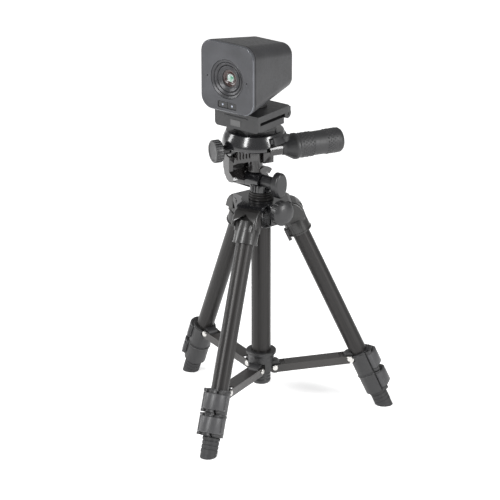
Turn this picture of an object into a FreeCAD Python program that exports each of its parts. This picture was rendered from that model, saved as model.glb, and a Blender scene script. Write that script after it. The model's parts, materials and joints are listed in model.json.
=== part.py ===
import FreeCAD, Part
import math
import os

# Webcam on a table tripod, in millimetres, +Z up. The origin is on the ground, in the middle of the
# footprint. The object faces -Y. Most shapes are built round the centre column's axis and moved to their
# place at the end.

# Place of the centre column, and the three legs
COLUMN_X, COLUMN_Y = 13.15, 16.90
LEG_AZIMUTHS = {"front": -76.7, "right": 43.3, "left": 163.3}
FOOT_RADIUS = 116.4
LEG_LEAN = 24.46

# Tubes: outer radius, and wall
UPPER_TUBE_R, MIDDLE_TUBE_R, LOWER_TUBE_R = 8.0, 6.7, 5.4
TUBE_WALL = 1.0
GAP = 0.3
PIN_GAP = 0.05

# Distances along a leg, from the ground
FOOT_TOP = 17.7
LOWER_COLLAR = (18.0, 38.7)
UPPER_COLLAR = (39.0, 61.0)
TUBE_TOP, BRACKET_LOW, SLEEVE_TOP, BRACKET_SHOULDER, LEG_PIVOT = 213.0, 194.6, 207.5, 211.0, 223.0
BRACKET_HALF_W, BRACKET_HALF_D, LEG_SLEEVE_R, KNUCKLE_R = 10.0, 9.5, 11.0, 4.0

# Flip lever of a collar, in the leg's own section: X outward, Y counter-clockwise seen from above
COLLAR_R, CLAMP_R, CLAMP_SHIFT = 10.4, 8.8, 3.9
LEVER_IN_R, LEVER_OUT_R, LEVER_SHIFT = 9.2, 11.2, 4.4
LEVER_PIN = (7.9, -8.8)
LEVER_PIN_R, LEVER_KNUCKLE_R, LEVER_LUG_R = 1.2, 2.8, 3.0
LEVER_LOW, LEVER_HIGH = 3.2, 18.2

# Brace: hub, struts and rivets
HUB_RIVET_R, HUB_RIVET_Z = 12.46, 44.1
LEG_RIVET_OUT, LEG_RIVET_ALONG = -10.2, 59.57
RIVET_R, RIVET_HEAD_R, RIVET_HALF, RIVET_HEAD_T = 1.4, 3.0, 6.7, 1.3
LUG_HALF_W, LUG_R = 5.1, 6.0
STRUT_HALF_W, STRUT_T, STRUT_TOP, STRUT_BOTTOM, STRUT_WEB_START = 6.7, 1.1, 2.6, -4.9, 9.5
HUB_LOW, HUB_HIGH, HUB_R, HUB_RIM_R = 41.0, 61.0, 12.0, 14.0

# Centre column and shoulder
COLUMN_R, COLUMN_BORE, COLUMN_LOW, PLUG_TOP = 9.0, 7.6, 28.3, 40.5
SHOULDER_LOW, SHOULDER_TOP, SLEEVE_R = 184.0, 210.0, 11.4
HOOD_HALF_W, HOOD_CAVITY_HALF_W, HOOD_LOW, ROOF_Z = 12.25, 10.4, 194.0, 207.6
PAN_RING_R, PAN_RING_LOW, PAN_RING_TOP, PAN_PIN_R = 11.5, 210.4, 217.0, 5.0
COLUMN_KNOB_AZIMUTH, COLUMN_KNOB_Z, COLUMN_KNOB_R = -15.2, 204.0, 11.4

# Head: tilt axis through the column's axis, and the platform, turned from the webcam's facing
TILT_AZIMUTH, TILT_Z, BARREL_R, TILT_SCREW_R = -2.5, 226.5, 8.6, 2.5
WING_HALF_H, WING_HALF_W = 12.0, 8.2
HEAD_TURN, HEAD_X, HEAD_Y = -27.5, -2.8, -5.4
FLIP_Z, FLIP_SCREW_R, FLIP_BARREL_R = 261.0, 2.5, 5.8
DISC_LOW, DISC_TOP, DISC_FLANGE_R, DISC_TOP_R, DISC_HOLLOW_TOP = 263.0, 277.7, 30.0, 26.2, 272.3
HANDLE_Z = 255.0
PLATE_HALF, PLATE_SEAT = 13.3, 275.3
RELEASE_PIVOT_X, RELEASE_PIVOT_Y, RELEASE_LOW, RELEASE_TOP = 21.0, 5.0, 268.3, 274.8

# Clip and webcam, centred on the camera screw across X
CAM_X, CAM_FRONT_Y, CAM_Z = -2.8, -46.1, 335.0
CAM_W, CAM_H, CAM_CORNER, CAM_BACK_Y = 59.2, 64.0, 12.0, 19.0
BACK_W, BACK_H, BACK_CORNER = 50.0, 41.0, 10.5
FRONT_PLATE_T, SHELL_WALL = 3.0, 2.0
LENS_Z, FUNNEL_R, LENS_WELL_R = 333.6, 18.15, 7.8
KEY_Z, KEY_STRIP_W, KEY_STRIP_H = 309.4, 21.0, 6.1
CLIP_LOW, CLIP_TOP, CLIP_HALF_W, CLIP_FRONT_Y, CLIP_BACK_Y = 283.6, 299.2, 24.7, -32.5, 14.0
CLIP_ARM_T, CLIP_PLATE_T, CLIP_LIP_T, CLIP_KNUCKLE_R = 6.2, 6.4, 3.0, 4.6
CAMERA_SCREW_R = 3.1

V = FreeCAD.Vector
UP, SIDE, AHEAD = V(0, 0, 1), V(0, 1, 0), V(1, 0, 0)


# ---------------------------------------------------------------- shapes

def rod(radius, low, high, x=0.0, y=0.0):
    return Part.makeCylinder(radius, high - low, V(x, y, low))


def ring(radius, bore, low, high):
    return rod(radius, low, high).cut(rod(bore, low - 1, high + 1))


def block(x0, x1, y0, y1, z0, z1):
    return Part.makeBox(x1 - x0, y1 - y0, z1 - z0, V(x0, y0, z0))


def prism(points, half_width):
    """A solid from an outline of (x, z) points, as thick along Y as twice half_width."""
    corners = [V(x, -half_width, z) for x, z in points]
    face = Part.Face(Part.makePolygon(corners + corners[:1]))
    return face.extrude(V(0, 2 * half_width, 0))


def lathe(points):
    """A solid of revolution about Z from an outline of (radius, z) points."""
    corners = [V(r, 0, z) for r, z in points]
    return Part.Face(Part.makePolygon(corners + corners[:1])).revolve(V(0, 0, 0), UP, 360)


def cross_rod(radius, half_width, x, z):
    """A rod along Y, centred on it."""
    return Part.makeCylinder(radius, 2 * half_width, V(x, -half_width, z), SIDE)


def rounded_outline(width, height, corner, y):
    """A closed wire in the plane of the given y: a rectangle with round corners, centred on the Y axis."""
    w, h, c = width / 2, height / 2, corner
    k = c * (1 - math.sqrt(0.5))
    edges = []
    for (x, z, sx, sz, turn) in ((w, h, 1, 1, 0), (-w, h, -1, 1, 1), (-w, -h, -1, -1, 0), (w, -h, 1, -1, 1)):
        first, last = V(x, y, z - sz * c), V(x - sx * c, y, z)
        middle = V(x - sx * k, y, z - sz * k)
        if turn:
            first, last = last, first
        edges.append(Part.Arc(first, middle, last).toShape())
    wire = []
    for number, edge in enumerate(edges):
        following = edges[(number + 1) % 4]
        wire += [edge, Part.makeLine(edge.lastVertex().Point, following.firstVertex().Point)]
    return Part.Wire(wire)


def rounded_block(width, height, corner, y0, y1):
    return Part.Face(rounded_outline(width, height, corner, y0)).extrude(V(0, y1 - y0, 0))


def lying(shape, azimuth):
    """Lays a shape built along Z so that its Z points along a level direction."""
    shape.rotate(V(0, 0, 0), SIDE, 90)
    shape.rotate(V(0, 0, 0), UP, azimuth)
    return shape


def on_leg(shape, azimuth):
    """Puts a shape built in the leg's own frame (Z along the leg from the ground, X outward) in place."""
    shape = shape.copy()
    shape.rotate(V(0, 0, 0), SIDE, -LEG_LEAN)
    shape.translate(V(FOOT_RADIUS, 0, 0))
    shape.rotate(V(0, 0, 0), UP, azimuth)
    return shape


def turned(shape, azimuth):
    shape = shape.copy()
    shape.rotate(V(0, 0, 0), UP, azimuth)
    return shape


def on_head(shape):
    """Puts a shape built in the head's frame (flip knob towards -Y) in place."""
    shape = shape.copy()
    shape.rotate(V(0, 0, 0), UP, HEAD_TURN)
    shape.translate(V(HEAD_X, HEAD_Y, 0))
    return shape


def on_tilt(shape, height=TILT_Z):
    """Puts a shape built along Z (distance along the tilt axis) in place on the tilt axis."""
    shape = lying(shape.copy(), TILT_AZIMUTH)
    shape.translate(V(0, 0, height))
    return shape


def edges_at(shape, axis, value):
    """The edges that lie in one plane, such as z = 10."""
    index = "xyz".index(axis)
    found = []
    for edge in shape.Edges:
        box = edge.BoundBox
        low = (box.XMin, box.YMin, box.ZMin)[index]
        high = (box.XMax, box.YMax, box.ZMax)[index]
        if abs(low - value) < 0.01 and abs(high - value) < 0.01:
            found.append(edge)
    return found


def save(name, shape):
    shape = shape.copy()
    shape.translate(V(COLUMN_X, COLUMN_Y, 0))
    shape.exportStep("parts/" + name + ".step")
    if not shape.isValid():
        print("not valid:", name)


# ---------------------------------------------------------------- one leg

def rubber_foot():
    """A round cap with three grooves, cut flat where it stands on the ground."""
    radius, groove = 7.85, 0.5
    outline = [(0, -8), (radius - 0.4, -8), (radius - 0.4, 3.4)]
    for low in (3.4, 7.2, 11.0):
        outline += [(radius - 0.1, low), (radius - 0.1, low + 2.6), (radius - groove, low + 2.9),
                    (radius - groove, low + 3.8)]
    outline += [(radius + 0.3, 14.8), (radius + 0.3, FOOT_TOP - 0.5), (radius - 0.2, FOOT_TOP), (0, FOOT_TOP)]
    return lathe(outline).cut(rod(LOWER_TUBE_R, 6, FOOT_TOP + 1))


def leg_tube(radius, low, high):
    return ring(radius, radius - TUBE_WALL, low, high)


def collar(low, high, tube_r, inner_r):
    """Clamp ring at a tube's lower end: clamp ears with a slit, and two lugs for the lever's pin."""
    pin_x, pin_y = LEVER_PIN
    body = rod(COLLAR_R, low, high)
    ears = rod(CLAMP_R, low + 1.2, high - 1.2, CLAMP_SHIFT).common(block(5, 14, -9.5, 9.5, low, high))
    body = body.fuse(ears)
    for z0, z1 in ((low + 0.3, low + LEVER_LOW - GAP), (low + LEVER_HIGH + GAP, high - 0.4)):
        lug = rod(LEVER_LUG_R, z0, z1, pin_x, pin_y)
        body = body.fuse(lug.fuse(block(pin_x - 3.0, pin_x + 2.0, pin_y, -5, z0, z1)))
    body = body.cut(rod(LEVER_PIN_R + PIN_GAP, low - 1, high + 1, pin_x, pin_y))
    body = body.cut(rod(LEVER_KNUCKLE_R + GAP, low + LEVER_LOW - GAP, low + LEVER_HIGH + GAP, pin_x, pin_y))
    body = body.cut(block(6, 14, 3, 4.4, low - 1, high + 1))
    seat = low + 10
    return body.cut(rod(inner_r + GAP, low - 1, seat + 1)).cut(rod(tube_r, seat, high + 1)).removeSplitter()


def collar_lever(low):
    """Flip lever: round the collar's outer face from its pin to a finger tab."""
    z0, z1 = low + LEVER_LOW, low + LEVER_HIGH
    pin_x, pin_y = LEVER_PIN
    first, last, far = math.radians(-50), math.radians(66), 60
    wedge = [V(0, 0, z0), V(far * math.cos(first), far * math.sin(first), z0), V(far, 0, z0),
             V(far * math.cos(last), far * math.sin(last), z0)]
    wedge = Part.Face(Part.makePolygon(wedge + wedge[:1])).extrude(V(0, 0, z1 - z0))
    body = rod(LEVER_OUT_R, z0, z1, LEVER_SHIFT).cut(rod(LEVER_IN_R, z0 - 1, z1 + 1, CLAMP_SHIFT))
    body = body.cut(rod(COLLAR_R + GAP, z0 - 1, z1 + 1)).common(wedge)
    for end_z in (z0, z1):
        rim = [e for e in edges_at(body, "z", end_z) if e.Length > 15
               and e.BoundBox.XMax > LEVER_OUT_R + LEVER_SHIFT - 1]
        body = body.makeChamfer(0.7, rim)
    tab = block(COLLAR_R + GAP, 14.0, -2.6, 0.0, z0 + 1.2, z1 - 1.2)
    tab = tab.makeFillet(1.0, [e for e in tab.Edges if e.BoundBox.XMin > 13.5 and e.Length > 5])
    tab.rotate(V(0, 0, 0), UP, math.degrees(last))
    body = body.fuse(tab).fuse(rod(LEVER_KNUCKLE_R, z0, z1, pin_x, pin_y))
    pin = rod(LEVER_PIN_R, low + 0.5, z1 + 2.4, pin_x, pin_y)
    return body.fuse(pin).removeSplitter()


def rivet_hole(radius, x, z):
    return cross_rod(radius, 30, x, z)


def upper_collar():
    low, high = UPPER_COLLAR
    body = collar(low, high, UPPER_TUBE_R, MIDDLE_TUBE_R)
    lug = cross_rod(LUG_R - 1, LUG_HALF_W, LEG_RIVET_OUT, LEG_RIVET_ALONG)
    lug = lug.fuse(block(LEG_RIVET_OUT, -7, -LUG_HALF_W, LUG_HALF_W, LEG_RIVET_ALONG - 5, LEG_RIVET_ALONG + 5))
    room = cross_rod(5.3, 8.0, LEG_RIVET_OUT, LEG_RIVET_ALONG).cut(
        cross_rod(6, LUG_HALF_W, LEG_RIVET_OUT, LEG_RIVET_ALONG))
    body = body.fuse(lug).cut(room).cut(rivet_hole(RIVET_R + PIN_GAP, LEG_RIVET_OUT, LEG_RIVET_ALONG))
    return body.cut(rod(UPPER_TUBE_R, low + 10, high + 10)).removeSplitter()


def leg_top_bracket():
    """Round cap over the upper tube's end, with the taper and the knuckle that turn in the shoulder."""
    d = BRACKET_HALF_D
    body = prism([(-d, SLEEVE_TOP - 2), (d, SLEEVE_TOP - 2), (d, BRACKET_SHOULDER), (3.4, LEG_PIVOT + 2.1),
                  (-3.4, LEG_PIVOT + 2.1), (-d, BRACKET_SHOULDER)], BRACKET_HALF_W)
    upright = [e for e in body.Edges if abs(abs(e.Vertexes[0].Y) - BRACKET_HALF_W) < 0.01
               and abs(e.Vertexes[0].Y - e.Vertexes[-1].Y) < 0.01
               and abs(e.Vertexes[0].X - e.Vertexes[-1].X) < 0.01]
    body = body.makeFillet(3.0, upright)
    body = body.fuse(cross_rod(KNUCKLE_R, BRACKET_HALF_W, 0, LEG_PIVOT))
    body = body.fuse(rod(LEG_SLEEVE_R, BRACKET_LOW, SLEEVE_TOP))
    body = body.fuse(rod(LEG_SLEEVE_R + 0.5, BRACKET_LOW, BRACKET_LOW + 1.3))
    outer = rod(LEG_SLEEVE_R, SLEEVE_TOP - 1, SLEEVE_TOP + 7.5).common(block(2, 12, -9.6, 9.6, 190, 220))
    body = body.fuse(outer)
    stop_tab = block(-LEG_SLEEVE_R - 2.0, -LEG_SLEEVE_R + 1, -3.6, 3.6, BRACKET_LOW - 4, BRACKET_LOW + 7)
    body = body.fuse(stop_tab)
    return body.cut(rod(UPPER_TUBE_R, BRACKET_LOW - 10, TUBE_TOP))


def leg_hood():
    """The wide cover on the outer side of a leg's top, in the shoulder's frame, with its peaked lower edge."""
    outline = [(27.6, 208.2), (31.5, 206.9), (35.0, 204.4), (38.0, 200.8), (39.6, 196.8), (39.6, HOOD_LOW),
               (27.6, HOOD_LOW)]
    body = prism(outline, HOOD_HALF_W)
    top = [e for e in body.Edges if abs(abs(e.CenterOfMass.y) - HOOD_HALF_W) < 0.01 and e.BoundBox.ZMax > 197
           and e.BoundBox.XMax > 30]
    body = body.makeFillet(2.2, top)
    peak = [V(26, -9.4, 180), V(26, 9.4, 180), V(26, 9.4, 199.2), V(26, 0, 205.0), V(26, -9.4, 199.2)]
    return body.cut(Part.Face(Part.makePolygon(peak + peak[:1])).extrude(V(20, 0, 0)))


def place_bracket(azimuth):
    inner = on_leg(leg_top_bracket(), 0)
    hood = leg_hood().cut(on_leg(rod(UPPER_TUBE_R, BRACKET_LOW - 10, TUBE_TOP), 0))
    return turned(inner.fuse(hood).removeSplitter(), azimuth)


def strut():
    """Inverted channel from the hub's rivet, at x = 0, to the leg's rivet, with the leg's rivet in it."""
    length = strut_length()
    w, t = STRUT_HALF_W, STRUT_T
    end_r = (STRUT_TOP - STRUT_BOTTOM) / 2
    end_z = (STRUT_TOP + STRUT_BOTTOM) / 2
    body = block(0, length, -w, w, STRUT_BOTTOM, STRUT_TOP)
    for x in (0, length):
        body = body.fuse(cross_rod(end_r, w, x, end_z))
    body = body.removeSplitter()
    body = body.cut(block(-10, length + 10, -w + t, w - t, STRUT_BOTTOM - 1, STRUT_TOP - t))
    for x0, x1 in ((-10, STRUT_WEB_START), (length - STRUT_WEB_START, length + 10)):
        body = body.cut(block(x0, x1, -w + t, w - t, STRUT_BOTTOM - 1, STRUT_TOP + 1))
    body = body.cut(rivet_hole(RIVET_R + PIN_GAP, 0, 0)).cut(rivet_hole(RIVET_R, length, 0))
    return Part.makeCompound([body, rivet(length, 0)])


def rivet(x, z, gap=0.0):
    body = cross_rod(RIVET_R, RIVET_HALF + gap, x, z)
    for way in (-1, 1):
        start = V(x, way * (RIVET_HALF + gap), z)
        head = Part.makeCone(RIVET_HEAD_R, RIVET_HEAD_R - 0.7, RIVET_HEAD_T, start, V(0, way, 0))
        body = body.fuse(head)
    return body


def leg_rivet_place():
    """Radius and height of a leg's rivet, from its place in the leg's own frame."""
    lean = math.radians(LEG_LEAN)
    radius = FOOT_RADIUS - LEG_RIVET_ALONG * math.sin(lean) + LEG_RIVET_OUT * math.cos(lean)
    height = LEG_RIVET_ALONG * math.cos(lean) + LEG_RIVET_OUT * math.sin(lean)
    return radius, height


def strut_length():
    radius, height = leg_rivet_place()
    return math.hypot(radius - HUB_RIVET_R, height - HUB_RIVET_Z)


def place_strut(azimuth):
    radius, height = leg_rivet_place()
    rise = math.degrees(math.atan2(height - HUB_RIVET_Z, radius - HUB_RIVET_R))
    shape = strut()
    shape.rotate(V(0, 0, 0), SIDE, -rise)
    shape.translate(V(HUB_RIVET_R, 0, HUB_RIVET_Z))
    return turned(shape, azimuth)


def make_leg(name, azimuth):
    foot = on_leg(rubber_foot(), azimuth)
    ground = block(-400, 400, -400, 400, 0, 100)
    save("rubber_foot_" + name, foot.common(ground))
    save("lower_tube_" + name, on_leg(leg_tube(LOWER_TUBE_R, 6, 165), azimuth))
    low, high = LOWER_COLLAR
    save("lower_collar_" + name, on_leg(collar(low, high, MIDDLE_TUBE_R, LOWER_TUBE_R), azimuth))
    save("lower_lever_" + name, on_leg(collar_lever(low), azimuth))
    save("middle_tube_" + name, on_leg(leg_tube(MIDDLE_TUBE_R, low + 10, 190), azimuth))
    save("upper_collar_" + name, on_leg(upper_collar(), azimuth))
    save("upper_lever_" + name, on_leg(collar_lever(UPPER_COLLAR[0]), azimuth))
    save("upper_tube_" + name, on_leg(leg_tube(UPPER_TUBE_R, UPPER_COLLAR[0] + 10, TUBE_TOP), azimuth))
    save("leg_top_bracket_" + name, place_bracket(azimuth))
    save("brace_strut_" + name, place_strut(azimuth))


# ---------------------------------------------------------------- brace hub, column and shoulder

def brace_hub():
    outline = [(9.0, HUB_LOW), (HUB_R, HUB_LOW), (HUB_R, 55.5), (HUB_RIM_R, 58.2), (HUB_RIM_R, HUB_HIGH - 0.6),
               (HUB_RIM_R - 0.6, HUB_HIGH), (9.0, HUB_HIGH)]
    body = lathe(outline)
    for azimuth in LEG_AZIMUTHS.values():
        lug = cross_rod(LUG_R, LUG_HALF_W, HUB_RIVET_R, HUB_RIVET_Z)
        room = cross_rod(6.2, 8.0, HUB_RIVET_R, HUB_RIVET_Z).cut(
            cross_rod(7, LUG_HALF_W, HUB_RIVET_R, HUB_RIVET_Z))
        body = body.fuse(turned(lug, azimuth)).cut(turned(room, azimuth))
        body = body.cut(turned(cross_rod(RIVET_R, 20, HUB_RIVET_R, HUB_RIVET_Z), azimuth))
    return body.cut(rod(COLUMN_R + GAP, 20, 80)).removeSplitter()


def hub_rivets():
    return Part.makeCompound([turned(rivet(HUB_RIVET_R, HUB_RIVET_Z, 0.2), azimuth)
                              for azimuth in LEG_AZIMUTHS.values()])


def centre_column():
    """Tube with the head that carries the pan joint."""
    head = [(PAN_PIN_R + PIN_GAP, 208), (COLUMN_R, 208), (COLUMN_R, PAN_RING_LOW), (PAN_RING_R, PAN_RING_LOW),
            (PAN_RING_R, 212.4), (PAN_RING_R - 0.9, 212.8), (PAN_RING_R - 0.4, 213.4), (PAN_RING_R - 0.4, 214.6),
            (PAN_RING_R - 1.3, 215.0), (PAN_RING_R - 1.0, 215.6), (PAN_RING_R - 1.0, PAN_RING_TOP - 0.5),
            (PAN_RING_R - 1.5, PAN_RING_TOP), (PAN_PIN_R + PIN_GAP, PAN_RING_TOP)]
    return ring(COLUMN_R, COLUMN_BORE, PLUG_TOP, 209).fuse(lathe(head)).removeSplitter()


def column_end_plug():
    outline = [(0, COLUMN_LOW), (7.6, COLUMN_LOW), (8.6, COLUMN_LOW + 1)]
    for low in (30.6, 33.6, 36.6):
        outline += [(8.9, low), (8.9, low + 1.9), (8.4, low + 2.2), (8.4, low + 2.8)]
    outline += [(8.9, PLUG_TOP - 0.8), (8.9, PLUG_TOP), (COLUMN_BORE, PLUG_TOP), (COLUMN_BORE, 50), (0, 50)]
    return lathe(outline)


def shoulder():
    body = lathe([(9, SHOULDER_LOW), (SLEEVE_R - 0.6, SHOULDER_LOW), (SLEEVE_R, SHOULDER_LOW + 0.6),
                  (SLEEVE_R, 203), (17, 205.5), (18.5, SHOULDER_TOP - 1), (17.5, SHOULDER_TOP), (9, SHOULDER_TOP)])
    cheeks = [(8, SHOULDER_TOP), (24.5, SHOULDER_TOP), (27.2, 208.4), (27.2, 202.3), (21.4, 189.6), (8, 186)]
    for azimuth in LEG_AZIMUTHS.values():
        hood = prism(cheeks, HOOD_HALF_W)
        hood = hood.cut(block(12.2, 40, -HOOD_CAVITY_HALF_W, HOOD_CAVITY_HALF_W, 150, ROOF_Z))
        body = body.fuse(turned(hood, azimuth))
    for azimuth in LEG_AZIMUTHS.values():
        body = body.cut(turned(block(SLEEVE_R, 40, -HOOD_CAVITY_HALF_W, HOOD_CAVITY_HALF_W, 150, ROOF_Z), azimuth))
    boss = lying(rod(7.0, 9.5, 23.5), COLUMN_KNOB_AZIMUTH)
    boss.translate(V(0, 0, COLUMN_KNOB_Z))
    boss = boss.common(rod(40, 190, SHOULDER_TOP))
    screw = lying(rod(2.55, 5, 40), COLUMN_KNOB_AZIMUTH)
    screw.translate(V(0, 0, COLUMN_KNOB_Z))
    body = body.fuse(boss).cut(screw)
    return body.cut(rod(COLUMN_R + GAP, 150, 250)).removeSplitter()


def grooved(shape, radius, count, groove_r, low, high):
    """Cuts upright grooves round a rod's rim."""
    for number in range(count):
        angle = 2 * math.pi * number / count
        shape = shape.cut(rod(groove_r, low, high, radius * math.cos(angle), radius * math.sin(angle)))
    return shape


def column_knob():
    outline = [(0, 9.4), (2.5, 9.4), (2.5, 23.8), (5.2, 23.8), (6.4, 27.2), (COLUMN_KNOB_R - 0.6, 27.2),
               (COLUMN_KNOB_R, 28.0), (COLUMN_KNOB_R, 34.0), (9.4, 36.0), (6.4, 37.3), (0, 37.8)]
    shape = grooved(lathe(outline), COLUMN_KNOB_R + 0.5, 20, 0.9, 27, 35)
    shape = lying(shape, COLUMN_KNOB_AZIMUTH)
    shape.translate(V(0, 0, COLUMN_KNOB_Z))
    return shape


# ---------------------------------------------------------------- head

def pan_neck():
    """Neck that turns on the column, with the fixed half of the tilt barrel on it."""
    low = PAN_RING_TOP + GAP
    body = rod(PAN_PIN_R, 209.5, low + 1).fuse(rod(9.3, low, 224))
    body = body.fuse(on_tilt(rod(BARREL_R, -12.9, 2.6)))
    body = body.cut(on_tilt(rod(6.0 + GAP, 2.6, 16)))
    return body.cut(on_tilt(rod(TILT_SCREW_R + PIN_GAP, -40, 40)))


def tilt_knob():
    """Wing knob: oval grip on a round boss, with the screw that clamps the tilt barrel."""
    boss = lathe([(0, 2.9), (5.2, 2.9), (6.0, 3.7), (6.0, 18.2), (0, 18.2)])
    oval = Part.Ellipse(V(0, 0, 17.8), WING_HALF_H, WING_HALF_W).toShape()
    wing = Part.Face(Part.Wire([oval])).extrude(V(0, 0, 7.2))
    wing = wing.makeFillet(2.2, edges_at(wing, "z", 25.0)).makeFillet(0.8, edges_at(wing, "z", 17.8))
    return on_tilt(boss.fuse(wing).fuse(rod(TILT_SCREW_R, -28.5, 5)).removeSplitter())


def tilt_arm():
    """Bracket from the tilt barrel up to the flip barrel, with its front plate and the handle's socket."""
    barrel = on_tilt(rod(BARREL_R, -29.5, -13.2))
    saddle = ring(14.2, BARREL_R + GAP + 0.1, -29.5, 4.0)
    sector = [V(0, 0, -40), V(-40 * math.sin(math.radians(40)), 40 * math.cos(math.radians(40)), -40),
              V(-60, 10, -40), V(-40, -18, -40)]
    sector = Part.Face(Part.makePolygon(sector + sector[:1])).extrude(V(0, 0, 80))
    saddle = saddle.common(sector)
    saddle = on_tilt(saddle)
    stem = Part.makeCone(7.4, 5.4, FLIP_Z - 239.0, V(-3.0, 1.75, 236.5))
    beam = block(-8.5, 7.0, -23.0, 0, 248.8, 254.4).fuse(block(-8.5, 7.0, -21.4, 0, 254, 258.6))
    flip_barrel = cross_rod(FLIP_BARREL_R, 14.7, 0, FLIP_Z)
    flip_barrel.translate(V(0, -6.7, 0))
    plate = prism([(-11.8, 259.5), (-7.4, 259.5), (-6.6, 257), (-3.0, 253.6), (1.2, 253.6), (1.2, 240.0),
                   (9.6, 237.0), (11.0, 234.6), (7.0, 231.6), (1.0, 230.4), (-4.0, 231.6), (-8.6, 235.4),
                   (-11.4, 241.0), (-11.8, 246.0)], 2.0)
    plate.translate(V(0, -24.5, 0))
    socket = cross_rod(6.3, 6.4, 0, HANDLE_Z)
    socket.translate(V(0, 19.1, 0))
    socket = socket.fuse(block(-5.5, 5.5, 6, 16, 244.5, 254.3))
    upper = on_head(stem.fuse(beam).fuse(flip_barrel).fuse(plate).fuse(socket))
    side = [V(-24.0, -1, 238.0), V(-24.0, -21.0, 240.0), V(-24.0, -23.8, 238.0), V(-24.0, -23.6, 234.5),
            V(-24.0, -21.5, 231.8), V(-24.0, -17.0, 229.8), V(-24.0, -8.0, 226.0), V(-24.0, -1, 222.0)]
    link = Part.Face(Part.makePolygon(side + side[:1])).extrude(V(10.6, 0, 0))
    back = on_tilt(rod(BARREL_R, -29.5, -13.2).fuse(block(-16, 0, -8.6, 8.6, -29.5, -13.2)))
    body = barrel.fuse(saddle).fuse(upper).fuse(link).fuse(back)
    body = body.cut(on_tilt(rod(BARREL_R + GAP + 0.1, -13.2, 12)))
    body = body.cut(on_tilt(rod(TILT_SCREW_R + PIN_GAP, -40, 40)))
    bore = cross_rod(FLIP_SCREW_R + PIN_GAP, 60, 0, FLIP_Z)
    thread = cross_rod(4.1, 30, 0, HANDLE_Z)
    thread.translate(V(0, 43.0, 0))
    return body.cut(on_head(bore)).cut(on_head(thread)).removeSplitter()


def head_platform():
    """Hollow round dish with the lugs of the flip joint under it and a pocket for the quick plate on top."""
    r, top = DISC_FLANGE_R, DISC_TOP
    outline = [(27.4, DISC_LOW), (r - 1, DISC_LOW), (r, DISC_LOW + 1), (r, 266.2), (r - 0.3, 268.0),
               (r - 0.8, 270.0), (r - 1.5, 272.0), (r - 2.4, 274.0), (r - 3.4, 275.8), (DISC_TOP_R, 276.9),
               (DISC_TOP_R - 0.9, 277.5), (DISC_TOP_R - 1.9, top), (0, top), (0, DISC_HOLLOW_TOP),
               (23.6, DISC_HOLLOW_TOP), (27.4, 266.0)]
    body = lathe(outline)
    half = PLATE_HALF
    body = body.cut(block(-half, half, -half, half, PLATE_SEAT, top + 1))
    for y in (-24.0, 10.6):
        lug = cross_rod(6.2, 2.1, 0, FLIP_Z).fuse(block(-6.2, 6.2, -2.1, 2.1, FLIP_Z, DISC_HOLLOW_TOP + 0.5))
        lug.translate(V(0, y, 0))
        body = body.fuse(lug)
    low_cut = sector_cut(19.0, -4, 99, 262, 268.2)
    lever_cut = sector_cut(16.9, 2, 70, 262, 273.9)
    window = sector_cut(22.6, 2, 70, 262, RELEASE_TOP + GAP)
    body = body.cut(low_cut).cut(lever_cut).cut(window)
    body = body.fuse(rod(1.6, 269.6, 274.5, RELEASE_PIVOT_X, RELEASE_PIVOT_Y))
    neck_room = cross_rod(4.5, 6, 0, FLIP_Z)
    neck_room.translate(V(0, -32.2, 0))
    body = body.cut(neck_room)
    return body.cut(cross_rod(FLIP_SCREW_R + PIN_GAP, 40, 0, FLIP_Z)).removeSplitter()


def sector_cut(inner_r, first, last, low, high):
    """A piece of a ring between two azimuths, used to open the dish's skirt."""
    points = [V(0, 0, low)]
    steps = 6
    for number in range(steps + 1):
        angle = math.radians(first + (last - first) * number / steps)
        points.append(V(60 * math.cos(angle), 60 * math.sin(angle), low))
    sector = Part.Face(Part.makePolygon(points + points[:1])).extrude(V(0, 0, high - low))
    return sector.cut(rod(inner_r, low - 1, high + 1))


def release_lever():
    """Curved lever flush with the dish's side that frees the quick plate; it swings out on its own pin."""
    low, high = RELEASE_LOW, RELEASE_TOP
    r = DISC_FLANGE_R - 0.5
    face = [(23.6, low), (r, low), (r - 0.4, 270.0), (r - 1.1, 272.0), (r - 2.1, 274.0), (r - 2.6, high),
            (23.6, high)]
    body = lathe(face).common(sector_cut(5, 13, 60, low, high))
    tab = block(24, 31.6, -4.5, 4.5, low + 0.8, high - 1.0)
    tab = tab.makeFillet(1.6, [e for e in tab.Edges if e.BoundBox.XMin > 31 and e.BoundBox.ZLength > 3])
    tab.rotate(V(0, 0, 0), UP, 48)
    x, y = RELEASE_PIVOT_X, RELEASE_PIVOT_Y
    body = body.fuse(tab).fuse(rod(3.6, 269.6, 273.5, x, y))
    body = body.fuse(block(x - 0.5, x + 5, y - 1.5, y + 3.6, 269.6, 273.5))
    return body.cut(rod(1.65, low - 1, high + 1, x, y)).removeSplitter()


def flip_knob():
    """Round knurled knob with its screw, built along the flip axis towards -Y."""
    shape = lathe([(0, -12.6), (FLIP_SCREW_R, -12.6), (FLIP_SCREW_R, 26.6), (4.0, 26.6), (4.0, 34.5), (9.6, 34.5),
                   (10.5, 35.4), (10.5, 41.2), (9.7, 42.0), (8.2, 42.0), (7.8, 41.6), (0, 41.6)])
    shape = grooved(shape, 10.8, 24, 0.75, 34, 42.5)
    shape.rotate(V(0, 0, 0), AHEAD, 90)
    shape.translate(V(0, 0, FLIP_Z))
    return on_head(shape)


def handle_rod():
    shape = rod(4.0, 13.2, 62.0).fuse(rod(5.0, 26.0, 30.5))
    shape.rotate(V(0, 0, 0), AHEAD, -90)
    shape.translate(V(0, 0, HANDLE_Z))
    return on_head(shape)


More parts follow.
